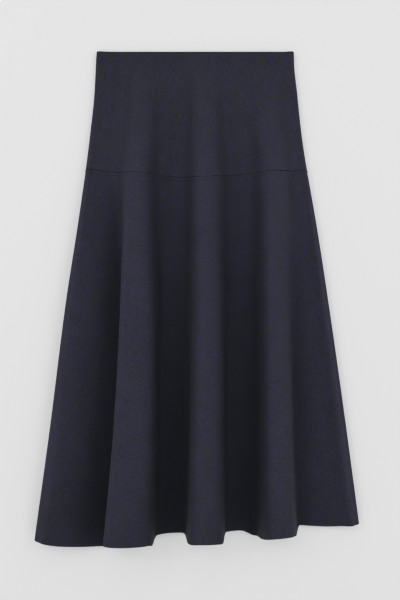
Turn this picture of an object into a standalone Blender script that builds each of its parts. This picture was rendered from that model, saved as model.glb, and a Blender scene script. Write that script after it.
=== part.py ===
"""Knit midi skirt, laid out flat on its back: a smooth fitted yoke over a flared lower part.

The skirt lies on a surface at Z = 0 with its waist towards +Y and its hem towards -Y. Front and back
are cut alike, in a yoke and a flare each, and meet at the two side edges. The flare's fullness stands up
from the surface in three long flutes, which start soft and low in the yoke and deepen down to the hem. Between
the flutes the front lies on the back, and the back lies on the surface. Under each front flute the back
has a lower flute of its own.

Every piece is one open sheet of cloth, drawn as a stack of cross sections and thickened to the wall.
A cross section is one smooth curve through the side roll, the flat parts and the flutes.
Sizes below are in millimetres.
"""

import math

import bpy
import numpy as np

MM = 0.001
WALL = 2.0  # the thick, firm double knit
GAP = 0.3  # between two pieces at a seam, and between layers that touch
YOKE_SPANS = 5  # sections down the yoke, less one
FLARE_SPANS = 13  # sections down the flare, less one
SEAM_Y = 203.0  # the yoke seam's nominal height; SEAM says how it really runs
HEM_Y = -374.0  # the hem's nominal height; HEM says how it really runs

# One row for each height down the skirt, from the waist to the hem.
# left, right: the side edges. roll_left, roll_right: the outer radius of the rolled side edges.
# lift: how far the front stands off the back between the flutes, where the doubled cloth at the sides
# holds it up. rise: share of a flute's full height in the front. back: the same in the back.
# side_left, side_right: share of a side panel's full height. dome: how much the front bellies up
# between the flutes.
LEVEL_COLUMNS = (
    "name", "y", "left", "right", "roll_left", "roll_right", "lift", "rise", "back", "side_left", "side_right", "dome",
)
LEVELS = (
    ("waist", 400.5, -166.5, 151.2, 4.6, 4.6, 2.4, 0.000, 0.00, 0.00, 0.00, 0.0),
    ("waist band", 380.0, -167.8, 151.8, 4.7, 4.6, 2.7, 0.020, 0.00, 0.00, 0.00, 0.0),
    ("upper yoke", 330.0, -170.2, 156.8, 5.1, 4.8, 3.4, 0.180, 0.00, 0.03, 0.00, -0.3),
    ("lower yoke", 262.0, -176.9, 163.8, 6.2, 5.0, 3.6, 0.345, 0.00, 0.12, 0.00, -0.6),
    ("yoke seam", 205.0, -183.3, 172.0, 7.6, 5.2, 3.3, 0.450, 0.02, 0.24, 0.06, -0.6),
    ("upper thigh", 160.0, -189.4, 179.8, 9.0, 5.4, 2.6, 0.510, 0.16, 0.38, 0.20, -0.2),
    ("thigh", 100.0, -198.1, 189.8, 11.0, 5.7, 1.8, 0.580, 0.40, 0.54, 0.38, 1.0),
    ("knee", 0.0, -213.6, 204.9, 13.0, 6.2, 0.8, 0.690, 0.64, 0.72, 0.62, 2.4),
    ("calf", -194.0, -238.6, 232.1, 14.5, 6.9, 0.2, 0.860, 0.88, 0.88, 0.86, 2.4),
    ("hem", -374.0, -264.2, 255.8, 14.0, 7.5, 0.0, 1.000, 1.00, 1.00, 1.00, 1.0),
)

# One row for each flute. height: at the hem, over the flat cloth. early: the share of its height that it
# has at the top of the yoke, beside the others. tilt: how much higher its left half is than its right,
# at the seam and at the hem.
FLUTE_COLUMNS = ("name", "height", "early", "tilt_seam", "tilt")
FLUTES = (
    ("left flute", 69.0, 0.95, 0.00, 0.04),
    ("middle flute", 72.0, 0.90, 0.02, 0.03),
    ("right flute", 64.0, 0.55, 0.05, 0.07),
)
EARLY_FROM, EARLY_TO = 150.0, 300.0  # between these heights the flutes take on their share of the yoke's rise

# One row for each wall of a flute. seam, mid, hem: where it stands at the seam, halfway down and at the hem.
# foot: how far its foot spreads, at the seam and at the hem. hold: the share of the flute's height at which
# the cloth beside it is held up. lean: how far the wall overhangs its foot. round: how far in from the wall
# the crest starts, as a share of the width, and ease: how much further in while the wall is still soft.
# crown: where the crest is full. shoulder: how high the wall goes before it turns in, as a share of the
# height. sharp_y: the height on the skirt below which the wall stands upright.
WALL_COLUMNS = (
    "name", "seam", "mid", "hem", "foot_seam", "foot", "hold_seam", "hold",
    "lean", "round", "ease", "crown", "shoulder", "sharp_y",
)
WALLS = (
    ("left flute, left", -121.0, -127.5, -149.8, 22.0, 9.0, 0.03, 0.00, 12.0, 0.00, 0.18, 0.18, 0.95, 20.0),
    ("left flute, right", -76.0, -70.5, -76.2, 31.0, 8.0, 0.03, 0.14, 0.0, 0.03, 0.15, 0.35, 0.82, -120.0),
    ("middle flute, left", -13.5, -13.0, -18.2, 33.0, 7.0, 0.00, 0.00, 0.0, 0.04, 0.08, 0.30, 0.88, -240.0),
    ("middle flute, right", 35.0, 35.5, 35.0, 31.0, 8.0, 0.03, 0.14, 0.0, 0.04, 0.15, 0.36, 0.83, -120.0),
    ("right flute, left", 93.0, 95.5, 97.0, 28.0, 12.0, 0.00, 0.00, 1.0, 0.10, 0.08, 0.31, 0.83, -240.0),
    ("right flute, right", 139.0, 143.0, 152.6, 28.0, 10.0, 0.05, 0.06, 3.0, 0.14, 0.14, 0.34, 0.82, -150.0),
)
SOFT_Y = 240.0  # above this height every wall is soft
LEAN_FROM = 0.45  # the rise at which the walls begin to lean
BACK_HEIGHT = 0.62  # a back flute's height, as a share of the front's
BACK_INSET = 10.5  # a back flute's wall, in from the front's
FREE_SHARE = 0.40  # the most of the room beside a wall that its foot may take

# One row for each side panel, between the side edge and the nearest flute. height: at the hem. reach: the
# share of the flare's length by which its fall has taken its shape at the hem. curl: how tightly its edge
# turns over, as a share of the rolled edge's radius.
SIDE_COLUMNS = ("name", "height", "reach", "curl")
SIDES = (
    ("left panel", 32.0, 0.40, 0.50),
    ("right panel", 22.0, 0.80, 0.85),
)
# How a side panel falls from the top of its edge to the foot of the flute beside it. share: of the way
# across. edge_seam, edge, right_edge: the share of the panel's height there, at the seam, at the hem on the
# left and at the hem on the right. foot: the share of the height at which the flute's foot is held up.
FALL_COLUMNS = ("share", "edge_seam", "edge", "right_edge", "foot")
FALLS = (
    (0.08, 0.87, 0.94, 0.83, 0.02),
    (0.20, 0.70, 0.84, 0.59, 0.05),
    (0.35, 0.48, 0.67, 0.34, 0.13),
    (0.55, 0.24, 0.41, 0.13, 0.34),
    (0.75, 0.08, 0.16, 0.02, 0.64),
    (0.92, 0.00, 0.02, 0.00, 0.92),
)

# The hem's height by place along the hem, counted in control points from the left side edge. The left flute
# hangs over the longer cloth of the left panel.
HEM_COLUMNS = ("name", "place", "y")
HEM = (
    ("left edge", 0.0, -384.6),
    ("left edge, rolled", 2.2, -383.4),
    ("left roll", 4.5, -385.3),
    ("left panel", 7.0, -392.2),
    ("beside the left flute", 8.8, -396.5),
    ("under the left flute", 10.2, -397.4),
    ("left flute, foot", 11.4, -398.9),
    ("left flute, left side", 13.0, -390.0),
    ("left flute, left corner", 14.3, -378.4),
    ("left flute, top", 15.6, -380.0),
    ("left flute, slope", 17.0, -381.2),
    ("left flute, right side", 18.0, -385.6),
    ("first hollow", 19.7, -377.0),
    ("first hollow, end", 22.7, -375.8),
    ("middle flute, left side", 24.8, -382.5),
    ("middle flute, left corner", 26.0, -377.2),
    ("middle flute, top", 27.2, -374.4),
    ("middle flute, slope", 28.5, -376.0),
    ("middle flute, right side", 29.9, -380.2),
    ("second hollow", 31.6, -371.6),
    ("second hollow, middle", 33.5, -372.2),
    ("second hollow, end", 35.3, -379.9),
    ("right flute, left side", 36.6, -378.0),
    ("right flute, top", 39.3, -367.2),
    ("right flute, slope", 41.0, -369.0),
    ("right flute, right side", 42.6, -375.0),
    ("beside the right flute", 44.1, -362.6),
    ("right panel", 46.8, -364.5),
    ("right panel, end", 49.0, -361.9),
    ("right roll", 51.5, -358.6),
    ("right edge", 55.0, -359.8),
)

# The yoke seam's height by distance across the skirt.
SEAM_COLUMNS = ("name", "x", "y")
SEAM = (
    ("left edge", -184.0, 210.0),
    ("left panel", -150.0, 206.5),
    ("left flute", -105.0, 201.3),
    ("first hollow", -50.0, 198.6),
    ("middle flute", 5.0, 194.3),
    ("second hollow", 60.0, 201.0),
    ("right flute", 113.0, 204.3),
    ("right panel", 142.0, 206.5),
    ("right edge", 172.0, 209.5),
)

CLOTH = {"colour": (0.030, 0.030, 0.047, 1.0), "roughness": 0.9, "metallic": 0.0}
COLLECTION = "knit_midi_skirt"


def rows(columns, table):
    return [dict(zip(columns, row)) for row in table]


def smooth_through(xs, ys, x):
    """A smooth curve through a table's points that never overshoots them."""
    xs, ys = np.asarray(xs, float), np.asarray(ys, float)
    step = np.diff(xs)
    slope = np.diff(ys) / step
    lean = np.zeros_like(ys)
    for i in range(1, len(xs) - 1):
        if slope[i - 1] * slope[i] > 0:
            a = 2 * step[i] + step[i - 1]
            b = step[i] + 2 * step[i - 1]
            lean[i] = (a + b) / (a / slope[i - 1] + b / slope[i])
    lean[0], lean[-1] = slope[0], slope[-1]
    x = np.clip(x, xs[0], xs[-1])
    i = np.clip(np.searchsorted(xs, x) - 1, 0, len(step) - 1)
    h = step[i]
    t = (x - xs[i]) / h
    return (
        (1 + 2 * t) * (1 - t) ** 2 * ys[i]
        + t * (1 - t) ** 2 * h * lean[i]
        + t * t * (3 - 2 * t) * ys[i + 1]
        + t * t * (t - 1) * h * lean[i + 1]
    )


LEVEL_ROWS = rows(LEVEL_COLUMNS, LEVELS)
FLUTE_ROWS = rows(FLUTE_COLUMNS, FLUTES)
WALL_ROWS = rows(WALL_COLUMNS, WALLS)
SIDE_ROWS = rows(SIDE_COLUMNS, SIDES)
FALL_ROWS = rows(FALL_COLUMNS, FALLS)
HEM_ROWS = rows(HEM_COLUMNS, HEM)
SEAM_ROWS = rows(SEAM_COLUMNS, SEAM)


def level(column, y):
    """A column of LEVELS at the nominal height y."""
    return float(
        smooth_through([-r["y"] for r in LEVEL_ROWS], [r[column] for r in LEVEL_ROWS], -y)
    )


def wall_at(wall, y):
    """Where a flute's wall stands at the nominal height y: a parabola through its three places in the flare,
    and in the yoke at the same share of the width as at the seam."""
    s = (SEAM_Y - y) / (SEAM_Y - HEM_Y)
    a, b, c = wall["seam"], wall["mid"], wall["hem"]
    if s < 0:
        low, high = level("left", SEAM_Y), level("right", SEAM_Y)
        share = (a - low) / (high - low)
        return level("left", y) + share * (level("right", y) - level("left", y))
    return a * (1 - s) * (1 - 2 * s) + b * 4 * s * (1 - s) + c * s * (2 * s - 1)


def room_beside(n, y):
    """How far it is from wall n, on the side away from its flute, to the next wall, or to the part of the
    side panel that a foot leaves free."""
    here = wall_at(WALL_ROWS[n], y)
    if n == 0:
        return 0.9 * (here - level("left", y))
    if n == len(WALL_ROWS) - 1:
        return 0.9 * (level("right", y) - here)
    return abs(here - wall_at(WALL_ROWS[n - 1 if n % 2 == 0 else n + 1], y))


def softness(n, y):
    """How soft a wall still is: fully so in the yoke, and not at all below the wall's own sharp height."""
    t = min(1.0, max(0.0, (y - WALL_ROWS[n]["sharp_y"]) / (SOFT_Y - WALL_ROWS[n]["sharp_y"])))
    return t * t * (3 - 2 * t)


def hold_at(n, y):
    """The share of the flute's height at which the cloth beside its outer wall is held up."""
    wall = WALL_ROWS[n]
    return wall["hold"] + (wall["hold_seam"] - wall["hold"]) * softness(n, y)


def wall_controls(n, y, height, wide, inset):
    """Half a flute's control points, from its foot to its crest, as distances in from the wall and heights."""
    wall = WALL_ROWS[n]
    soft = softness(n, y)
    lean = wall["lean"] * max(0.0, (level("rise", y) - LEAN_FROM) / (1 - LEAN_FROM))
    foot = wall["foot"] + (wall["foot_seam"] - wall["foot"]) * soft
    foot = min(foot, FREE_SHARE * room_beside(n, y) + lean)
    turn = wall["round"] + wall["ease"] * soft
    held = 0.0 if inset else hold_at(n, y) * height
    shoulder = wall["shoulder"]
    if inset:
        wide -= 2 * inset + lean
        return [
            (lean + inset - min(foot, inset), 0.0),
            (lean + inset - 0.35 * min(foot, inset), 0.0),
            (lean + inset, 0.42 * height),
            (lean + inset + 0.12 * wide, 0.84 * height),
            (lean + inset + 0.30 * wide, height),
        ]
    return [
        (lean - foot, 0.94 * held),
        (lean - 0.35 * foot, held + (0.04 + 0.12 * soft) * (height - held)),
        (0.55 * lean, held + (0.42 + 0.04 * soft) * (height - held)),
        (turn * wide - 0.10 * lean, held + shoulder * (height - held)),
        ((wall["crown"] + 0.12 * soft) * wide, height),
    ]


def flute_controls(k, y, base, share, inset=0.0):
    """The control points of flute k over the flat cloth at height base, from left to right."""
    flute = FLUTE_ROWS[k]
    height = flute["height"] * level("back" if inset else "rise", y) * share
    t = min(1.0, max(0.0, (y - EARLY_FROM) / (EARLY_TO - EARLY_FROM)))
    height *= 1 - (1 - flute["early"]) * t * t * (3 - 2 * t)
    left, right = wall_at(WALL_ROWS[2 * k], y), wall_at(WALL_ROWS[2 * k + 1], y)
    wide = right - left
    tilt = flute["tilt"] + (flute["tilt_seam"] - flute["tilt"]) * softness(2 * k + 1, y)
    up = wall_controls(2 * k, y, height * (1 + tilt), wide, inset)
    down = wall_controls(2 * k + 1, y, height * (1 - tilt), wide, inset)
    return [(left + d, base + z) for d, z in up] + [(right - d, base + z) for d, z in reversed(down)]


def side_controls(k, y, base, room, panel, held):
    """The control points of a side panel, from the side edge inwards, as distances from the edge."""
    side = SIDE_ROWS[k]
    roll = level(("roll_left", "roll_right")[k], y)
    if panel == "back":
        return [
            (0.0, roll - GAP / 2),
            (0.0, 0.76 * roll),
            (0.0, 0.50 * roll),
            (0.32 * roll, 0.11 * roll),
            (0.95 * roll, 0.0),
            (1.80 * roll, 0.0),
            (0.52 * room, 0.0),
            (0.62 * room, 0.0),
            (0.74 * room, 0.0),
            (0.86 * room, 0.0),
            (0.94 * room, 0.0),
        ]
    under = 2 * roll - WALL  # the inner face over the rolled edge
    high = max(side["height"] * level(("side_left", "side_right")[k], y), under - base)
    top = base + high
    curl = max(4.4, side["curl"] * roll)
    start = WALL + 0.8 * (curl - WALL)
    late = min(1.0, max(0.0, (SEAM_Y - y) / (side["reach"] * (SEAM_Y - HEM_Y)))) ** 1.4
    edge = ("edge", "right_edge")[k]
    return [
        (WALL, roll + GAP / 2),
        (WALL, roll + GAP / 2 + 0.30 * (under - roll)),
        (WALL, roll + GAP / 2 + 0.62 * (under - roll)),
        (WALL + 0.35 * (curl - WALL), under - 0.04 * (under - roll)),
        (start + 0.04 * room, under + 0.25 * (top - under)),
    ] + [
        (
            start + r["share"] * (room - start),
            base + (r["edge_seam"] + (r[edge] - r["edge_seam"]) * late) * high + r["foot"] * held,
        )
        for r in FALL_ROWS
    ]


def panel_controls(panel, y):
    """The control points of a whole cross section, from the left side edge to the right one: the front's
    inner face, or the back's outer face, which lies on the surface."""
    left, right = level("left", y), level("right", y)
    if panel == "front":
        base, share, inset, dome = WALL + GAP + level("lift", y), 1.0, 0.0, level("dome", y)
    else:
        base, share, inset, dome = 0.0, BACK_HEIGHT, BACK_INSET, 0.0
    flutes = [flute_controls(k, y, base, share, inset) for k in range(len(FLUTE_ROWS))]
    held = [flutes[0][0][1] - base, flutes[-1][-1][1] - base]
    points = [(left + x, z) for x, z in side_controls(0, y, base, flutes[0][0][0] - left, panel, held[0])]
    for k, controls in enumerate(flutes):
        if k:
            before, after = flutes[k - 1][-1][0], controls[0][0]
            points.append((before + 0.36 * (after - before), base + dome))
            points.append((before + 0.68 * (after - before), base + 0.3 * dome))
        points += controls
    last = side_controls(1, y, base, right - flutes[-1][-1][0], panel, held[1])
    return points + [(right - x, z) for x, z in reversed(last)]


def front_controls(y):
    return panel_controls("front", y)


def back_controls(y):
    return panel_controls("back", y)


def spline(controls, per_span):
    """A uniform cubic B-spline from the first control point to the last. It stays within its control points,
    so that cloth lying flat stays exactly flat."""
    c = np.asarray(controls, float)
    c = np.vstack([2 * c[0] - c[1], c, 2 * c[-1] - c[-2]])
    found = []
    for i in range(len(c) - 3):
        for t in np.arange(per_span) / per_span:
            found.append(
                (
                    (1 - t) ** 3 * c[i]
                    + (3 * t**3 - 6 * t**2 + 4) * c[i + 1]
                    + (-3 * t**3 + 3 * t**2 + 3 * t + 1) * c[i + 2]
                    + t**3 * c[i + 3]
                )
                / 6
            )
    found.append((c[-3] + 4 * c[-2] + c[-1]) / 6)
    return np.array(found)


def seam_y(x):
    return smooth_through([r["x"] for r in SEAM_ROWS], [r["y"] for r in SEAM_ROWS], x)


def hem_y(places):
    return smooth_through([r["place"] for r in HEM_ROWS], [r["y"] for r in HEM_ROWS], places)


def sheet(controls_at, piece, spans, per_span=1):
    """The grid of points of one piece: a row for each section, from its top edge to its bottom edge."""
    grid = []
    for k in range(spans + 1):
        s = k / spans
        if piece == "flare":
            s = s**0.85
            y = SEAM_Y + (HEM_Y - SEAM_Y) * s
        else:
            y = LEVEL_ROWS[0]["y"] + (SEAM_Y - LEVEL_ROWS[0]["y"]) * s
        flat = spline(controls_at(y), per_span)
        x, z = flat[:, 0], flat[:, 1]
        if piece == "flare":
            top, bottom = seam_y(x) - GAP / 2, hem_y(np.arange(len(x)) / per_span)
        else:
            top, bottom = np.full_like(x, LEVEL_ROWS[0]["y"]), seam_y(x) + GAP / 2
        grid.append(np.stack([x, top + (bottom - top) * s, z], axis=1))
    return np.array(grid)


def make_material(name):
    material = bpy.data.materials.new(name)
    material.use_nodes = True
    shader = material.node_tree.nodes["Principled BSDF"]
    shader.inputs["Base Color"].default_value = CLOTH["colour"]
    shader.inputs["Roughness"].default_value = CLOTH["roughness"]
    shader.inputs["Metallic"].default_value = CLOTH["metallic"]
    material.diffuse_color = CLOTH["colour"]
    return material


def make_piece(name, grid, centre, collection):
    """One panel: its sheet of points as a mesh, thickened upwards to the wall."""
    levels, stations = grid.shape[:2]
    points = (grid.reshape(-1, 3) - centre) * MM
    faces = []
    for k in range(levels - 1):
        for i in range(stations - 1):
            a = k * stations + i
            faces.append((a, a + stations, a + stations + 1, a + 1))
    mesh = bpy.data.meshes.new(name)
    mesh.from_pydata([tuple(p) for p in points], [], faces)
    mesh.update()
    mesh.shade_smooth()
    piece = bpy.data.objects.new(name, mesh)
    collection.objects.link(piece)
    solidify = piece.modifiers.new("wall", "SOLIDIFY")
    solidify.thickness = WALL * MM
    solidify.offset = 1.0
    solidify.use_even_offset = True
    solidify.use_quality_normals = True
    mesh.materials.append(make_material(name + "_cloth"))
    return piece


def middle_of(grids):
    """The middle of the whole skirt's outline, so that its origin is on the surface under that point."""
    points = np.concatenate([g.reshape(-1, 3) for g in grids])
    low, high = points.min(0), points.max(0)
    return np.array([(low[0] + high[0]) / 2, (low[1] + high[1]) / 2, 0.0])


def main():
    for old in list(bpy.data.objects):
        bpy.data.objects.remove(old, do_unlink=True)
    collection = bpy.data.collections.new(COLLECTION)
    bpy.context.scene.collection.children.link(collection)
    grids = {
        "front_yoke": sheet(front_controls, "yoke", YOKE_SPANS),
        "back_yoke": sheet(back_controls, "yoke", YOKE_SPANS),
        "front_flare": sheet(front_controls, "flare", FLARE_SPANS),
        "back_flare": sheet(back_controls, "flare", FLARE_SPANS),
    }
    centre = middle_of([grids["back_yoke"], grids["back_flare"]])
    for name, grid in grids.items():
        make_piece(name, grid, centre, collection)


main()
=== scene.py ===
"""Looks for the knit midi skirt: fine knitted panels in place of the plain CAD ones, a pale floor, soft
studio light and a camera straight above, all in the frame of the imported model.

The panels repeat the CAD's cross sections at a finer pitch, with rounded edges, the sewn yoke seam, the
turned waist edge and the slight unevenness of real cloth. Sizes in the tables are in millimetres.
"""

import math

import bpy
import numpy as np
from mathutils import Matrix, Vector


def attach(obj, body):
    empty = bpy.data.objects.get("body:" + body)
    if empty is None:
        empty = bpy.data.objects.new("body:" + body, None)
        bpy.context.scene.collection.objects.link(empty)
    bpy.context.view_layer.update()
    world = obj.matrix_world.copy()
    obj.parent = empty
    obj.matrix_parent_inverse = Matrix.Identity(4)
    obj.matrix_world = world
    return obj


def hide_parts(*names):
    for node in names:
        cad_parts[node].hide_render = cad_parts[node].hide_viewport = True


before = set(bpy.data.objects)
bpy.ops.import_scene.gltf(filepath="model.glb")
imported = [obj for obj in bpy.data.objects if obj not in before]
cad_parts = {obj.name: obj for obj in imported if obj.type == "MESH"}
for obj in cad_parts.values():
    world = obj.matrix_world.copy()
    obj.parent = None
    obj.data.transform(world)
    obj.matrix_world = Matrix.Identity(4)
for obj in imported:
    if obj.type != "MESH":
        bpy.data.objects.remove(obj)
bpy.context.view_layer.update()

MM = 0.001
WALL = 2.0
GAP = 0.3
SEWN_GAP = 0.1  # between the two panels that meet at the yoke seam
SEAM_Y = 203.0
HEM_Y = -374.0
CENTRE = (-4.6, 0.9564, 0.0)  # the middle of the skirt's outline, which is the frame's origin

LEVEL_COLUMNS = (
    "name", "y", "left", "right", "roll_left", "roll_right", "lift", "rise", "back", "side_left", "side_right", "dome",
)
LEVELS = (
    ("waist", 400.5, -166.5, 151.2, 4.6, 4.6, 2.4, 0.000, 0.00, 0.00, 0.00, 0.0),
    ("waist band", 380.0, -167.8, 151.8, 4.7, 4.6, 2.7, 0.020, 0.00, 0.00, 0.00, 0.0),
    ("upper yoke", 330.0, -170.2, 156.8, 5.1, 4.8, 3.4, 0.180, 0.00, 0.03, 0.00, -0.3),
    ("lower yoke", 262.0, -176.9, 163.8, 6.2, 5.0, 3.6, 0.345, 0.00, 0.12, 0.00, -0.6),
    ("yoke seam", 205.0, -183.3, 172.0, 7.6, 5.2, 3.3, 0.450, 0.02, 0.24, 0.06, -0.6),
    ("upper thigh", 160.0, -189.4, 179.8, 9.0, 5.4, 2.6, 0.510, 0.16, 0.38, 0.20, -0.2),
    ("thigh", 100.0, -198.1, 189.8, 11.0, 5.7, 1.8, 0.580, 0.40, 0.54, 0.38, 1.0),
    ("knee", 0.0, -213.6, 204.9, 13.0, 6.2, 0.8, 0.690, 0.64, 0.72, 0.62, 2.4),
    ("calf", -194.0, -238.6, 232.1, 14.5, 6.9, 0.2, 0.860, 0.88, 0.88, 0.86, 2.4),
    ("hem", -374.0, -264.2, 255.8, 14.0, 7.5, 0.0, 1.000, 1.00, 1.00, 1.00, 1.0),
)
FLUTE_COLUMNS = ("name", "height", "early", "tilt_seam", "tilt")
FLUTES = (
    ("left flute", 69.0, 0.95, 0.00, 0.04),
    ("middle flute", 72.0, 0.90, 0.02, 0.03),
    ("right flute", 64.0, 0.55, 0.05, 0.07),
)
EARLY_FROM, EARLY_TO = 150.0, 300.0  # between these heights the flutes take on their share of the yoke's rise
WALL_COLUMNS = (
    "name", "seam", "mid", "hem", "foot_seam", "foot", "hold_seam", "hold",
    "lean", "round", "ease", "crown", "shoulder", "sharp_y",
)
WALLS = (
    ("left flute, left", -121.0, -127.5, -149.8, 22.0, 9.0, 0.03, 0.00, 12.0, 0.00, 0.18, 0.18, 0.95, 20.0),
    ("left flute, right", -76.0, -70.5, -76.2, 31.0, 8.0, 0.03, 0.14, 0.0, 0.03, 0.15, 0.35, 0.82, -120.0),
    ("middle flute, left", -13.5, -13.0, -18.2, 33.0, 7.0, 0.00, 0.00, 0.0, 0.04, 0.08, 0.30, 0.88, -240.0),
    ("middle flute, right", 35.0, 35.5, 35.0, 31.0, 8.0, 0.03, 0.14, 0.0, 0.04, 0.15, 0.36, 0.83, -120.0),
    ("right flute, left", 93.0, 95.5, 97.0, 28.0, 12.0, 0.00, 0.00, 1.0, 0.10, 0.08, 0.31, 0.83, -240.0),
    ("right flute, right", 139.0, 143.0, 152.6, 28.0, 10.0, 0.05, 0.06, 3.0, 0.14, 0.14, 0.34, 0.82, -150.0),
)
SOFT_Y = 240.0
LEAN_FROM = 0.45
BACK_HEIGHT = 0.62
BACK_INSET = 10.5
FREE_SHARE = 0.40
SIDE_COLUMNS = ("name", "height", "reach", "curl")
SIDES = (
    ("left panel", 32.0, 0.40, 0.50),
    ("right panel", 22.0, 0.80, 0.85),
)
# A side panel's height, from the top of its edge down to the foot of the flute beside it.
FALL_COLUMNS = ("share", "edge_seam", "edge", "right_edge", "foot")
FALLS = (
    (0.08, 0.87, 0.94, 0.83, 0.02),
    (0.20, 0.70, 0.84, 0.59, 0.05),
    (0.35, 0.48, 0.67, 0.34, 0.13),
    (0.55, 0.24, 0.41, 0.13, 0.34),
    (0.75, 0.08, 0.16, 0.02, 0.64),
    (0.92, 0.00, 0.02, 0.00, 0.92),
)
# The hem's height by place along the hem, counted in control points from the left side edge.
HEM_COLUMNS = ("name", "place", "y")
HEM = (
    ("left edge", 0.0, -384.6),
    ("left edge, rolled", 2.2, -383.4),
    ("left roll", 4.5, -385.3),
    ("left panel", 7.0, -392.2),
    ("beside the left flute", 8.8, -396.5),
    ("under the left flute", 10.2, -397.4),
    ("left flute, foot", 11.4, -398.9),
    ("left flute, left side", 13.0, -390.0),
    ("left flute, left corner", 14.3, -378.4),
    ("left flute, top", 15.6, -380.0),
    ("left flute, slope", 17.0, -381.2),
    ("left flute, right corner", 17.7, -384.9),
    ("left flute, right side", 18.5, -380.6),
    ("first hollow", 19.7, -377.0),
    ("first hollow, end", 22.7, -375.8),
    ("middle flute, left side", 24.8, -382.5),
    ("middle flute, left corner", 26.0, -377.2),
    ("middle flute, top", 27.2, -374.4),
    ("middle flute, slope", 28.5, -376.0),
    ("middle flute, right corner", 29.6, -379.6),
    ("middle flute, right side", 30.4, -375.0),
    ("second hollow", 31.6, -371.6),
    ("second hollow, middle", 33.5, -372.2),
    ("second hollow, end", 35.3, -379.9),
    ("right flute, left side", 36.6, -378.0),
    ("right flute, top", 39.3, -367.2),
    ("right flute, slope", 41.0, -369.0),
    ("right flute, right side", 42.6, -375.0),
    ("beside the right flute", 44.1, -362.6),
    ("right panel", 46.8, -364.5),
    ("right panel, end", 49.0, -361.9),
    ("right roll", 51.5, -360.4),
    ("right edge", 55.0, -359.6),
)

# The yoke seam's height by distance across the skirt.
SEAM_COLUMNS = ("name", "x", "y")
SEAM = (
    ("left edge", -184.0, 210.0),
    ("left panel", -150.0, 206.5),
    ("left flute", -105.0, 201.3),
    ("first hollow", -50.0, 198.6),
    ("middle flute", 5.0, 194.3),
    ("second hollow", 60.0, 201.0),
    ("right flute", 113.0, 204.3),
    ("right panel", 142.0, 206.5),
    ("right edge", 172.0, 209.5),
)

# How the cloth's outer face stands at the yoke seam: distance from the seam, and height over the plain cloth.
WELT_COLUMNS = ("distance", "yoke", "flare")
WELT = (
    (0.0, -0.04, -0.04),
    (0.5, 0.00, 0.08),
    (0.9, 0.03, 0.22),
    (1.8, 0.07, 0.48),
    (3.2, 0.10, 0.50),
    (4.6, 0.07, 0.24),
    (6.2, 0.01, -0.15),
    (7.4, 0.00, -0.25),
    (9.0, 0.00, -0.09),
    (12.0, 0.00, 0.00),
)
# The waist edge is turned in by this much, and the turned part stands this much prouder.
WAIST_TURN = 18.5
WAIST_PROUD = 0.16

# Slow unevenness of the cloth: wavelength across, wavelength down, turn, phase and height of each wave.
WAVE_COLUMNS = ("across", "down", "turn", "phase", "height")
WAVES = (
    (83.0, 210.0, 0.30, 0.4, 0.30),
    (57.0, 160.0, -0.22, 2.1, 0.22),
    (131.0, 97.0, 0.55, 4.0, 0.25),
    (41.0, 240.0, 0.12, 1.2, 0.14),
    (173.0, 64.0, -0.40, 5.2, 0.14),
)

CAMERA_HEIGHT = 1.30
VIEW_HEIGHT = 0.972  # the height of the view at the surface, in metres

NAVY = (0.0325, 0.0318, 0.0565)
FLOOR = (0.82, 0.82, 0.82)


def rows(columns, table):
    return [dict(zip(columns, row)) for row in table]


def smooth_through(xs, ys, x):
    """A smooth curve through a table's points that never overshoots them."""
    xs, ys = np.asarray(xs, float), np.asarray(ys, float)
    step = np.diff(xs)
    slope = np.diff(ys) / step
    lean = np.zeros_like(ys)
    for i in range(1, len(xs) - 1):
        if slope[i - 1] * slope[i] > 0:
            a = 2 * step[i] + step[i - 1]
            b = step[i] + 2 * step[i - 1]
            lean[i] = (a + b) / (a / slope[i - 1] + b / slope[i])
    lean[0], lean[-1] = slope[0], slope[-1]
    x = np.clip(x, xs[0], xs[-1])
    i = np.clip(np.searchsorted(xs, x) - 1, 0, len(step) - 1)
    h = step[i]
    t = (x - xs[i]) / h
    return (
        (1 + 2 * t) * (1 - t) ** 2 * ys[i]
        + t * (1 - t) ** 2 * h * lean[i]
        + t * t * (3 - 2 * t) * ys[i + 1]
        + t * t * (t - 1) * h * lean[i + 1]
    )


LEVEL_ROWS = rows(LEVEL_COLUMNS, LEVELS)
FLUTE_ROWS = rows(FLUTE_COLUMNS, FLUTES)
WALL_ROWS = rows(WALL_COLUMNS, WALLS)
SIDE_ROWS = rows(SIDE_COLUMNS, SIDES)
FALL_ROWS = rows(FALL_COLUMNS, FALLS)
HEM_ROWS = rows(HEM_COLUMNS, HEM)
SEAM_ROWS = rows(SEAM_COLUMNS, SEAM)
WELT_ROWS = rows(WELT_COLUMNS, WELT)


def level(column, y):
    return float(smooth_through([-r["y"] for r in LEVEL_ROWS], [r[column] for r in LEVEL_ROWS], -y))


def wall_at(wall, y):
    s = (SEAM_Y - y) / (SEAM_Y - HEM_Y)
    a, b, c = wall["seam"], wall["mid"], wall["hem"]
    if s < 0:
        low, high = level("left", SEAM_Y), level("right", SEAM_Y)
        share = (a - low) / (high - low)
        return level("left", y) + share * (level("right", y) - level("left", y))
    return a * (1 - s) * (1 - 2 * s) + b * 4 * s * (1 - s) + c * s * (2 * s - 1)


def room_beside(n, y):
    here = wall_at(WALL_ROWS[n], y)
    if n == 0:
        return 0.9 * (here - level("left", y))
    if n == len(WALL_ROWS) - 1:
        return 0.9 * (level("right", y) - here)
    return abs(here - wall_at(WALL_ROWS[n - 1 if n % 2 == 0 else n + 1], y))


def softness(n, y):
    """How soft a wall still is: fully so in the yoke, and not at all below the wall's own sharp height."""
    t = min(1.0, max(0.0, (y - WALL_ROWS[n]["sharp_y"]) / (SOFT_Y - WALL_ROWS[n]["sharp_y"])))
    return t * t * (3 - 2 * t)


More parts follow.
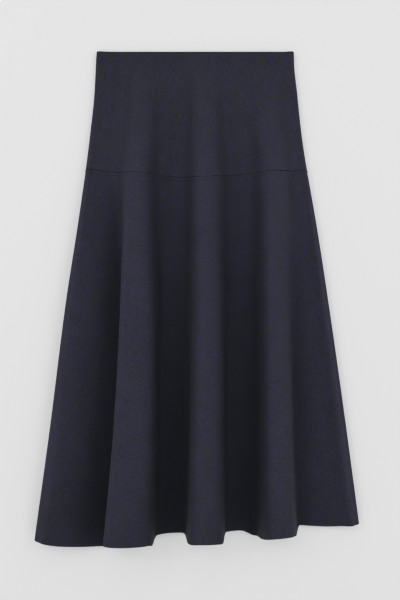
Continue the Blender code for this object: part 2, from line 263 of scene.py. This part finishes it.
def hold_at(n, y):
    """The share of the flute's height at which the cloth beside its outer wall is held up."""
    wall = WALL_ROWS[n]
    return wall["hold"] + (wall["hold_seam"] - wall["hold"]) * softness(n, y)


def wall_controls(n, y, height, wide, inset):
    """Half a flute's control points, from its foot to its crest, as distances in from the wall and heights."""
    wall = WALL_ROWS[n]
    soft = softness(n, y)
    lean = wall["lean"] * max(0.0, (level("rise", y) - LEAN_FROM) / (1 - LEAN_FROM))
    foot = wall["foot"] + (wall["foot_seam"] - wall["foot"]) * soft
    foot = min(foot, FREE_SHARE * room_beside(n, y) + lean)
    turn = wall["round"] + wall["ease"] * soft
    held = 0.0 if inset else hold_at(n, y) * height
    shoulder = wall["shoulder"]
    if inset:
        wide -= 2 * inset + lean
        return [
            (lean + inset - min(foot, inset), 0.0),
            (lean + inset - 0.35 * min(foot, inset), 0.0),
            (lean + inset, 0.42 * height),
            (lean + inset + 0.12 * wide, 0.84 * height),
            (lean + inset + 0.30 * wide, height),
        ]
    return [
        (lean - foot, 0.94 * held),
        (lean - 0.35 * foot, held + (0.04 + 0.12 * soft) * (height - held)),
        (0.55 * lean, held + (0.42 + 0.04 * soft) * (height - held)),
        (turn * wide - 0.10 * lean, held + shoulder * (height - held)),
        ((wall["crown"] + 0.12 * soft) * wide, height),
    ]


def flute_controls(k, y, base, share, inset=0.0):
    """The control points of flute k over the flat cloth at height base, from left to right."""
    flute = FLUTE_ROWS[k]
    height = flute["height"] * level("back" if inset else "rise", y) * share
    t = min(1.0, max(0.0, (y - EARLY_FROM) / (EARLY_TO - EARLY_FROM)))
    height *= 1 - (1 - flute["early"]) * t * t * (3 - 2 * t)
    left, right = wall_at(WALL_ROWS[2 * k], y), wall_at(WALL_ROWS[2 * k + 1], y)
    wide = right - left
    tilt = flute["tilt"] + (flute["tilt_seam"] - flute["tilt"]) * softness(2 * k + 1, y)
    up = wall_controls(2 * k, y, height * (1 + tilt), wide, inset)
    down = wall_controls(2 * k + 1, y, height * (1 - tilt), wide, inset)
    return [(left + d, base + z) for d, z in up] + [(right - d, base + z) for d, z in reversed(down)]


def side_controls(k, y, base, room, panel, held):
    """The control points of a side panel, from the side edge inwards, as distances from the edge."""
    side = SIDE_ROWS[k]
    roll = level(("roll_left", "roll_right")[k], y)
    if panel == "back":
        return [
            (0.0, roll - GAP / 2),
            (0.0, 0.76 * roll),
            (0.0, 0.50 * roll),
            (0.32 * roll, 0.11 * roll),
            (0.95 * roll, 0.0),
            (1.80 * roll, 0.0),
            (0.52 * room, 0.0),
            (0.62 * room, 0.0),
            (0.74 * room, 0.0),
            (0.86 * room, 0.0),
            (0.94 * room, 0.0),
        ]
    under = 2 * roll - WALL
    high = max(side["height"] * level(("side_left", "side_right")[k], y), under - base)
    top = base + high
    curl = max(4.4, side["curl"] * roll)
    start = WALL + 0.8 * (curl - WALL)
    late = min(1.0, max(0.0, (SEAM_Y - y) / (side["reach"] * (SEAM_Y - HEM_Y)))) ** 1.4
    edge = ("edge", "right_edge")[k]
    return [
        (WALL, roll + GAP / 2),
        (WALL, roll + GAP / 2 + 0.30 * (under - roll)),
        (WALL, roll + GAP / 2 + 0.62 * (under - roll)),
        (WALL + 0.35 * (curl - WALL), under - 0.04 * (under - roll)),
        (start + 0.04 * room, under + 0.25 * (top - under)),
    ] + [
        (
            start + r["share"] * (room - start),
            base + (r["edge_seam"] + (r[edge] - r["edge_seam"]) * late) * high + r["foot"] * held,
        )
        for r in FALL_ROWS
    ]


def panel_controls(panel, y):
    """The control points of a whole cross section, from the left side edge to the right one."""
    left, right = level("left", y), level("right", y)
    if panel == "front":
        base, share, inset, dome = WALL + GAP + level("lift", y), 1.0, 0.0, level("dome", y)
    else:
        base, share, inset, dome = 0.0, BACK_HEIGHT, BACK_INSET, 0.0
    flutes = [flute_controls(k, y, base, share, inset) for k in range(len(FLUTE_ROWS))]
    held = [flutes[0][0][1] - base, flutes[-1][-1][1] - base]
    points = [(left + x, z) for x, z in side_controls(0, y, base, flutes[0][0][0] - left, panel, held[0])]
    for k, controls in enumerate(flutes):
        if k:
            before, after = flutes[k - 1][-1][0], controls[0][0]
            points.append((before + 0.36 * (after - before), base + dome))
            points.append((before + 0.68 * (after - before), base + 0.3 * dome))
        points += controls
    last = side_controls(1, y, base, right - flutes[-1][-1][0], panel, held[1])
    return points + [(right - x, z) for x, z in reversed(last)]


def spline(controls, places):
    """A uniform cubic B-spline at the given places, counted in control points."""
    c = np.asarray(controls, float)
    c = np.vstack([2 * c[0] - c[1], c, 2 * c[-1] - c[-2]])
    i = np.minimum(np.floor(places).astype(int), len(c) - 4)
    t = (places - i)[:, None]
    return (
        (1 - t) ** 3 * c[i]
        + (3 * t**3 - 6 * t**2 + 4) * c[i + 1]
        + (-3 * t**3 + 3 * t**2 + 3 * t + 1) * c[i + 2]
        + t**3 * c[i + 3]
    ) / 6


def seam_y(x):
    return smooth_through([r["x"] for r in SEAM_ROWS], [r["y"] for r in SEAM_ROWS], x)


def hem_y(places):
    return smooth_through([r["place"] for r in HEM_ROWS], [r["y"] for r in HEM_ROWS], places)


CUT_REACH = 1.0  # how far in the rounding of a cut edge reaches
SEWN_REACH = 0.20  # the same where an edge is sewn to the next piece
ROUND = [1 - math.cos(a) for a in (0.0, 0.32, 0.63, 0.94, 1.26, 1.57)]
EDGE = [CUT_REACH * r for r in ROUND]
SEWN = [SEWN_REACH * r for r in ROUND]
NEAR_SEAM = SEWN + [0.5, 0.9, 1.4, 1.9, 2.5, 3.2, 3.9, 4.6, 5.3, 6.0, 6.7, 7.4, 8.2, 9.0, 10.2, 12.0, 14.5, 18.0]
NEAR_WAIST = EDGE + [1.8, 3.0, 5.0, 8.0, 12.0, 14.5, 16.5, 18.5, 20.5, 22.5, 25.0]
NEAR_HEM = EDGE + [1.6, 2.6, 4.2, 6.5, 10.0, 15.0]


def row_shares(length, first, last, pitch):
    """The shares down a panel at which its rows lie: close together where its two edges need it."""
    middle_from, middle_to = first[-1], length - last[-1]
    count = max(2, int(round((middle_to - middle_from) / pitch)))
    middle = [middle_from + (middle_to - middle_from) * i / count for i in range(1, count)]
    return np.array(first + middle + [length - d for d in reversed(last)]) / length


def column_places(spans, per_span):
    """Where the columns lie along a section, in control points: close together at the two side edges."""
    ends = [0.0, 0.02, 0.06, 0.12, 0.2, 0.3, 0.42, 0.56, 0.72, 0.88]
    middle = [1.0 + i / per_span for i in range((spans - 2) * per_span + 1)]
    return np.array(ends + middle + [spans - e for e in reversed(ends)])


def waves(x, y):
    """The slow unevenness of the cloth, between 0 and about 1 mm."""
    total = np.zeros_like(x)
    for r in rows(WAVE_COLUMNS, WAVES):
        along = x * math.cos(r["turn"]) + y * math.sin(r["turn"])
        down = y * math.cos(r["turn"]) - x * math.sin(r["turn"])
        total += r["height"] * np.sin(2 * math.pi * along / r["across"] + r["phase"] + 1.3 * np.sin(2 * math.pi * down / r["down"]))
    return total


def panel_points(panel, piece, per_span, pitch):
    """The mid-line points of a panel's inner or under face, row by row."""
    spans = len(panel_controls(panel, 0.0)) - 1
    places = column_places(spans, per_span)
    if piece == "yoke":
        shares = row_shares(LEVEL_ROWS[0]["y"] - SEAM_Y, NEAR_WAIST, NEAR_SEAM, pitch)
    else:
        shares = row_shares(SEAM_Y - HEM_Y, NEAR_SEAM, NEAR_HEM, pitch)
    grid = []
    for s in shares:
        if piece == "yoke":
            y = LEVEL_ROWS[0]["y"] + (SEAM_Y - LEVEL_ROWS[0]["y"]) * s
            flat = spline(panel_controls(panel, y), places)
            top, bottom = np.full(len(flat), LEVEL_ROWS[0]["y"]), seam_y(flat[:, 0]) + SEWN_GAP / 2
        else:
            y = SEAM_Y + (HEM_Y - SEAM_Y) * s
            flat = spline(panel_controls(panel, y), places)
            top, bottom = seam_y(flat[:, 0]) - SEWN_GAP / 2, hem_y(places)
        grid.append(np.stack([flat[:, 0], top + (bottom - top) * s, flat[:, 1]], axis=1))
    return np.array(grid)


def lengths(points, axis):
    """The distance along the cloth from the first row or column."""
    step = np.linalg.norm(np.diff(points, axis=axis), axis=2)
    total = np.cumsum(step, axis=axis)
    return np.insert(total, 0, 0.0, axis=axis)


def faces_up(points):
    across, down = np.gradient(points, axis=1), np.gradient(points, axis=0)
    normal = np.cross(down, across)
    return normal / np.linalg.norm(normal, axis=2, keepdims=True)


def half_wall(distance, reach):
    """Half the wall near a rounded edge."""
    t = np.clip(distance / reach, 0.0, 1.0)
    return 0.5 * WALL * np.sqrt(np.maximum(0.0, 1 - (1 - t) ** 2))


def build_panel(name, panel, piece, per_span, pitch, material):
    """One knitted panel as a closed shell with rounded edges, in place of its CAD node."""
    points = panel_points(panel, piece, per_span, pitch)
    down, across = lengths(points, 0), lengths(points, 1)
    to_top, to_bottom = down, down[-1] - down
    to_left, to_right = across, across[:, -1:] - across
    inwards = np.minimum(np.minimum(to_top, to_bottom), np.minimum(to_left, to_right))
    top_reach, bottom_reach = (CUT_REACH, SEWN_REACH) if piece == "yoke" else (SEWN_REACH, CUT_REACH)
    edge = half_wall(to_top, top_reach) * half_wall(to_bottom, bottom_reach)
    edge = edge * half_wall(to_left, CUT_REACH) * half_wall(to_right, CUT_REACH) / (0.5 * WALL) ** 3

    # slow unevenness of the front, fading out at the side edges and where it would push on the layer below
    if panel == "front":
        free = np.clip((np.minimum(to_left, to_right) - 12.0) / 30.0, 0, 1) * np.clip(to_top / 60.0 if piece == "yoke" else 1.0, 0, 1)
        points = points + faces_up(points) * (0.55 * free * (1.0 + waves(points[..., 0], points[..., 1])))[..., None]

    normal = faces_up(points)
    middle = points + normal * (0.5 * WALL)
    outer = edge.copy()
    if panel == "front":
        near = to_bottom if piece == "yoke" else to_top
        relief = np.interp(near, [r["distance"] for r in WELT_ROWS], [r[piece] for r in WELT_ROWS])
        if piece == "yoke":
            turned = 1 - np.clip((to_top - (WAIST_TURN - 4.0)) / 8.0, 0, 1)
            relief = relief + WAIST_PROUD * turned * turned * (3 - 2 * turned)
        outer = outer + relief * np.clip(inwards / 1.0, 0, 1) ** 0.5
    top, under = middle + normal * outer[..., None], middle - normal * edge[..., None]

    count, stations = points.shape[:2]
    index_top = np.arange(count * stations).reshape(count, stations)
    index_under = index_top.copy()
    inner = np.arange((count - 2) * (stations - 2)).reshape(count - 2, stations - 2) + count * stations
    index_under[1:-1, 1:-1] = inner
    corners = np.concatenate([top.reshape(-1, 3), under[1:-1, 1:-1].reshape(-1, 3)])
    a = index_top
    upper = np.stack([a[:-1, :-1], a[1:, :-1], a[1:, 1:], a[:-1, 1:]], axis=-1).reshape(-1, 4)
    a = index_under
    lower = np.stack([a[:-1, :-1], a[:-1, 1:], a[1:, 1:], a[1:, :-1]], axis=-1).reshape(-1, 4)
    mesh = bpy.data.meshes.new(name)
    mesh.from_pydata(((corners - np.array(CENTRE)) * MM).tolist(), [], np.concatenate([upper, lower]).tolist())
    mesh.update()

    # real sizes on the cloth: across from the middle of the panel, and down its length
    middle_column = int(np.argmin(np.abs(points[0, :, 0] + 8.0)))
    u = across - across[:, middle_column : middle_column + 1]
    v = -down - (0.0 if piece == "yoke" else LEVEL_ROWS[0]["y"] - SEAM_Y)
    at = np.stack([u, v], axis=-1)
    at = np.concatenate([at.reshape(-1, 2), at[1:-1, 1:-1].reshape(-1, 2)]) * MM
    corner = np.zeros(len(mesh.loops), np.int32)
    mesh.loops.foreach_get("vertex_index", corner)
    layer = mesh.uv_layers.new(name="cloth")
    layer.data.foreach_set("uv", at[corner].astype(np.float32).ravel())
    mesh.shade_smooth()
    mesh.materials.append(material)
    made = bpy.data.objects.new(name, mesh)
    bpy.context.scene.collection.objects.link(made)

    real_area = float(
        np.linalg.norm(
            np.cross(points[1:, :-1] - points[:-1, :-1], points[:-1, 1:] - points[:-1, :-1]), axis=2
        ).sum()
    ) * MM * MM
    return made, across[0, -1] * MM, across[-1, -1] * MM, float(np.median(down[-1])) * MM, real_area


# --- material ---------------------------------------------------------------------------------------------


class Nodes:
    """Short ways to add shader nodes to one material."""

    def __init__(self, material):
        material.use_nodes = True
        self.tree = material.node_tree
        self.shader = self.tree.nodes["Principled BSDF"]

    def link(self, source, target):
        self.tree.links.new(source, target)

    def math(self, operation, a, b=None, c=None, clamp=False):
        node = self.tree.nodes.new("ShaderNodeMath")
        node.operation = operation
        node.use_clamp = clamp
        for socket, value in zip(node.inputs, (a, b, c)):
            if value is None:
                continue
            if isinstance(value, (int, float)):
                socket.default_value = value
            else:
                self.link(value, socket)
        return node.outputs[0]

    def noise(self, vector, scale, detail=2.0, roughness=0.5):
        node = self.tree.nodes.new("ShaderNodeTexNoise")
        node.inputs["Scale"].default_value = scale
        node.inputs["Detail"].default_value = detail
        node.inputs["Roughness"].default_value = roughness
        self.link(vector, node.inputs["Vector"])
        return node.outputs["Fac"]


WALE = 1.25  # one column of stitches
COURSE = 0.92  # one row of stitches
WAIST_PAINTED_SHADE = 0.14  # painted shade: how much darker the cloth is painted at the waist edge, where the light is weaker
WAIST_SHADE_FROM, WAIST_SHADE_TO = 10.0, 190.0  # how far down from the waist edge the painted shade takes to fade
HEM_PAINTED_SHADE = 0.07  # painted shade: how much darker the cloth is painted at the hem, where the light falls off
HEM_SHADE_FROM, HEM_SHADE_TO = 680.0, 780.0


def knit_material(name, colour):
    """A fine double knit: columns of small V stitches, a soft fuzz, slight unevenness of the dye, and painted shade
    that darkens the cloth at the waist and at the hem.
    """
    material = bpy.data.materials.new(name)
    n = Nodes(material)
    uv = n.tree.nodes.new("ShaderNodeUVMap")
    uv.uv_map = "cloth"
    parts = n.tree.nodes.new("ShaderNodeSeparateXYZ")
    n.link(uv.outputs[0], parts.inputs[0])
    wobble = n.math("MULTIPLY", n.math("SUBTRACT", n.noise(uv.outputs[0], 160.0, 1.0), 0.5), 0.35)
    wale = n.math("ADD", n.math("DIVIDE", parts.outputs[0], WALE * MM), wobble)
    side = n.math("MULTIPLY", n.math("ABSOLUTE", n.math("SUBTRACT", n.math("FRACT", wale), 0.5)), 2.0)
    course = n.math("DIVIDE", parts.outputs[1], COURSE * MM)
    along = n.math("FRACT", n.math("ADD", n.math("ADD", course, wobble), n.math("MULTIPLY", side, 0.8)))
    strand = n.math("SINE", n.math("MULTIPLY", along, math.pi))
    leg = n.math("SINE", n.math("MULTIPLY", side, math.pi))
    stitch = n.math("MULTIPLY", n.math("ADD", n.math("MULTIPLY", strand, 0.65), 0.35), leg)
    fuzz = n.noise(uv.outputs[0], 2600.0, 3.0, 0.65)
    patch = n.noise(uv.outputs[0], 42.0, 3.0, 0.55)
    broad = n.noise(uv.outputs[0], 9.0, 2.0, 0.5)
    shade = n.math("ADD", n.math("MULTIPLY", stitch, 0.26), 0.84)
    shade = n.math("ADD", shade, n.math("MULTIPLY", n.math("SUBTRACT", fuzz, 0.5), 0.22))
    shade = n.math("ADD", shade, n.math("MULTIPLY", n.math("SUBTRACT", patch, 0.5), 0.16))
    shade = n.math("ADD", shade, n.math("MULTIPLY", n.math("SUBTRACT", broad, 0.5), 0.10))
    # uneven courses: short streaks across the cloth, a few stitches long
    stretch = n.tree.nodes.new("ShaderNodeVectorMath")
    stretch.operation = "MULTIPLY"
    stretch.inputs[1].default_value = (190.0, 460.0, 1.0)
    n.link(uv.outputs[0], stretch.inputs[0])
    streak = n.noise(stretch.outputs[0], 1.0, 2.0, 0.6)
    shade = n.math("ADD", shade, n.math("MULTIPLY", n.math("SUBTRACT", streak, 0.5), 0.60))
    # painted shade: darker at the waist edge, fading out down the yoke, where the light falls off
    waist_painted_shade = n.math("MULTIPLY", n.math("ADD", parts.outputs[1], WAIST_SHADE_FROM * MM), -1.0 / ((WAIST_SHADE_TO - WAIST_SHADE_FROM) * MM), clamp=True)
    shade = n.math("MULTIPLY", shade, n.math("ADD", n.math("MULTIPLY", waist_painted_shade, WAIST_PAINTED_SHADE), 1.0 - WAIST_PAINTED_SHADE))
    # painted shade: a little darker again in the last stretch above the hem, where the light falls off
    low = n.math("MULTIPLY", n.math("ADD", parts.outputs[1], HEM_SHADE_FROM * MM), -1.0 / ((HEM_SHADE_TO - HEM_SHADE_FROM) * MM), clamp=True)
    shade = n.math("MULTIPLY", shade, n.math("ADD", n.math("MULTIPLY", low, -HEM_PAINTED_SHADE), 1.0))
    # the yarn is a mix of a plainer and a bluer navy
    bluer = n.math("ADD", n.math("MULTIPLY", n.noise(uv.outputs[0], 240.0, 2.0, 0.6), 0.6), n.math("MULTIPLY", n.noise(uv.outputs[0], 70.0, 2.0), 0.4))
    mix = n.tree.nodes.new("ShaderNodeMix")
    mix.data_type = "RGBA"
    mix.clamp_factor = True
    mix.inputs["A"].default_value = (colour[0] * 1.02, colour[1] * 1.02, colour[2] * 0.84, 1.0)
    mix.inputs["B"].default_value = (colour[0] * 0.98, colour[1] * 0.98, colour[2] * 1.16, 1.0)
    n.link(n.math("ADD", n.math("MULTIPLY", n.math("SUBTRACT", bluer, 0.5), 3.0), 0.5, clamp=True), mix.inputs["Factor"])
    shaded = n.tree.nodes.new("ShaderNodeVectorMath")
    shaded.operation = "SCALE"
    n.link(mix.outputs["Result"], shaded.inputs[0])
    n.link(shade, shaded.inputs["Scale"])
    n.link(shaded.outputs[0], n.shader.inputs["Base Color"])
    rough = n.math("ADD", n.math("MULTIPLY", fuzz, 0.16), 0.80, clamp=True)
    n.link(rough, n.shader.inputs["Roughness"])
    height = n.math("ADD", n.math("MULTIPLY", stitch, 0.8), n.math("MULTIPLY", fuzz, 0.35))
    bump = n.tree.nodes.new("ShaderNodeBump")
    bump.inputs["Strength"].default_value = 0.55
    bump.inputs["Distance"].default_value = 0.00032
    n.link(height, bump.inputs["Height"])
    n.link(bump.outputs[0], n.shader.inputs["Normal"])
    n.shader.inputs["Specular IOR Level"].default_value = 0.22
    n.shader.inputs["Sheen Weight"].default_value = 0.04
    n.shader.inputs["Sheen Roughness"].default_value = 0.45
    n.shader.inputs["Sheen Tint"].default_value = (0.75, 0.78, 1.0, 1.0)
    material.diffuse_color = (*colour, 1.0)
    return material


# --- the skirt --------------------------------------------------------------------------------------------

knit = knit_material("navy_knit", NAVY)
PANELS = (
    ("front_yoke_knit", "front_yoke", "front", "yoke", ["back_yoke_knit"]),
    ("back_yoke_knit", "back_yoke", "back", "yoke", []),
    ("front_flare_knit", "front_flare", "front", "flare", ["back_flare_knit"]),
    ("back_flare_knit", "back_flare", "back", "flare", []),
)
per_span, pitch = ((5, 5.2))
made = {}
for name, node, panel, piece, rests_on in PANELS:
    made[name] = build_panel(name, panel, piece, per_span, pitch, knit)
for name, node, panel, piece, rests_on in PANELS:
    shell, upper, lower, length, area = made[name]
    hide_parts(node)
    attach(shell, "root")

# --- floor, light and camera ------------------------------------------------------------------------------

floor_mesh = bpy.data.meshes.new("floor")
floor_mesh.from_pydata([(-4, -4, 0), (4, -4, 0), (4, 4, 0), (-4, 4, 0)], [], [(0, 1, 2, 3)])
floor = bpy.data.objects.new("floor", floor_mesh)
bpy.context.scene.collection.objects.link(floor)
floor_material = bpy.data.materials.new("pale_floor")
floor_material.use_nodes = True
shader = floor_material.node_tree.nodes["Principled BSDF"]
shader.inputs["Base Color"].default_value = (*FLOOR, 1.0)
shader.inputs["Roughness"].default_value = 0.9
shader.inputs["Specular IOR Level"].default_value = 0.2
floor_mesh.materials.append(floor_material)

# One row for each soft light: its direction, distance, size and power.
LIGHT_COLUMNS = ("name", "azimuth", "elevation", "distance", "wide", "tall", "power")
LIGHTS = (
    ("right", 15.0, 54.0, 1.7, 0.7, 0.7, 3.5),
    ("left", 158.0, 48.0, 1.7, 0.7, 0.7, 3.85),
    ("top", 98.0, 38.0, 1.7, 0.4, 0.4, 0.8),
)
AMBIENT = 0.70


def add_light(name, azimuth, elevation, distance, wide, tall, power):
    light = bpy.data.lights.new(name, "AREA")
    light.shape = "RECTANGLE"
    light.size, light.size_y, light.energy = wide, tall, power
    lamp = bpy.data.objects.new(name, light)
    a, e = math.radians(azimuth), math.radians(elevation)
    place = Vector((math.cos(e) * math.cos(a), math.cos(e) * math.sin(a), math.sin(e))) * distance
    lamp.location = place
    lamp.rotation_euler = (-place).to_track_quat("-Z", "Y").to_euler()
    bpy.context.scene.collection.objects.link(lamp)


for row in LIGHTS:
    add_light(*row)
world = bpy.data.worlds.new("studio")
world.use_nodes = True
world.node_tree.nodes["Background"].inputs[0].default_value = (1.0, 1.0, 1.0, 1.0)
world.node_tree.nodes["Background"].inputs[1].default_value = AMBIENT
bpy.context.scene.world = world

camera_data = bpy.data.cameras.new("camera")
camera = bpy.data.objects.new("camera", camera_data)
bpy.context.scene.collection.objects.link(camera)
camera.location = (-CENTRE[0] * MM, -CENTRE[1] * MM, CAMERA_HEIGHT)
camera_data.sensor_fit = "VERTICAL"
camera_data.sensor_height = 36.0
camera_data.lens = 36.0 * CAMERA_HEIGHT / VIEW_HEIGHT
bpy.context.scene.camera = camera

# The print contrast of a studio photograph, as shares of the cloth's full brightness: the darks fall off faster
# than in the bare light, and the deepest ones level out. Blue falls a little more than red and green.
FULL = (0.036, 0.0355, 0.058)
TONE_COLUMNS = ("light", "red", "green", "blue")
TONES = (
    (0.15, 0.112, 0.122, 0.090),
    (0.25, 0.160, 0.174, 0.129),
    (0.35, 0.194, 0.210, 0.161),
    (0.42, 0.222, 0.240, 0.190),
    (0.50, 0.266, 0.285, 0.234),
    (0.60, 0.348, 0.366, 0.320),
    (0.70, 0.468, 0.484, 0.448),
    (0.80, 0.622, 0.636, 0.610),
    (0.90, 0.800, 0.809, 0.792),
    (1.00, 1.000, 1.000, 1.000),
)
HIGHLIGHTS = ((0.30, 0.42), (0.45, 0.60), (0.60, 0.70), (0.75, 0.78), (0.90, 0.84))
view = bpy.context.scene.view_settings
view.view_transform = "Standard"
view.look = "None"
view.use_curve_mapping = True
for channel, full in enumerate(FULL):
    curve = view.curve_mapping.curves[channel]
    for row in rows(TONE_COLUMNS, TONES):
        curve.points.new(full * row["light"], full * row[("red", "green", "blue")[channel]])
    for light, printed in ((2 * full, 2 * full),) + HIGHLIGHTS:
        curve.points.new(light, printed)
    for point in curve.points:
        point.handle_type = "VECTOR"
view.curve_mapping.update()
